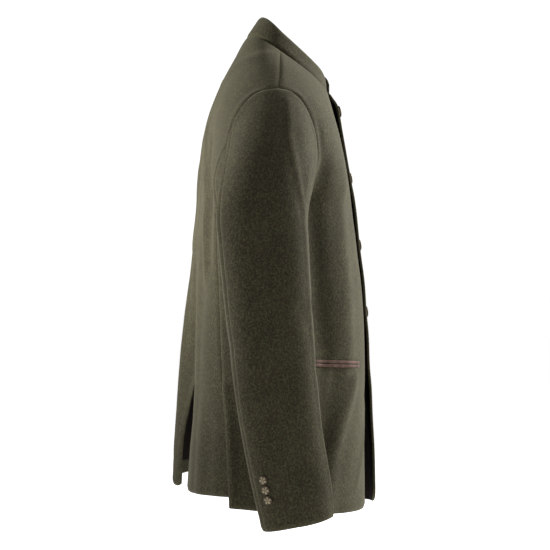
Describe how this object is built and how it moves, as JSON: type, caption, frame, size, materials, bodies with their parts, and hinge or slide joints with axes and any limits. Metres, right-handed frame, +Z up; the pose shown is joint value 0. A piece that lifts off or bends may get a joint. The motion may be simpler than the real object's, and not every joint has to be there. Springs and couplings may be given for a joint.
{
  "type": "jacket",
  "caption": "Hip-length felted wool jacket with stand collar, buttoned front, welt pockets, two-piece sleeves and a centre back vent.",
  "frame": {"origin": "middle of the neck opening, level with the side neck points of the shoulder seams, where the wearer's neck and shoulders hold the jacket up", "axes": "+Z up, -Y out of the front of the jacket, +X towards the wearer's left"},
  "size_m": [0.654, 0.3407, 0.8233],
  "materials": {
    "loden": "dark olive green felted wool, mottled by its yarns, with a short matt nap",
    "leather": "smooth rose brown leather with a soft sheen",
    "button_metal": "cast buttons in aged silvery brass with a low relief, dark in the hollows and bright on the raised parts"
  },
  "bodies": {
    "root": {"Back_Left": "loden", "Back_Right": "loden", "Collar": "loden", "Front_Left": "loden", "Front_Right": "loden", "Top_Sleeve_Left": "loden", "Top_Sleeve_Right": "loden", "Under_Sleeve_Left": "loden", "Under_Sleeve_Right": "loden", "Pocket_Upper_Welt_Right": "leather", "Pocket_Lower_Welt_Right": "leather", "Pocket_Upper_Welt_Left": "leather", "Pocket_Lower_Welt_Left": "leather", "Cuff_Button_Right_1": "button_metal", "Cuff_Button_Right_2": "button_metal", "Cuff_Button_Right_3": "button_metal", "Cuff_Button_Left_1": "button_metal", "Cuff_Button_Left_2": "button_metal", "Cuff_Button_Left_3": "button_metal", "Front_Button_1": "button_metal", "Front_Button_2": "button_metal", "Front_Button_3": "button_metal", "Front_Button_4": "button_metal"}
  },
  "joints": []
}
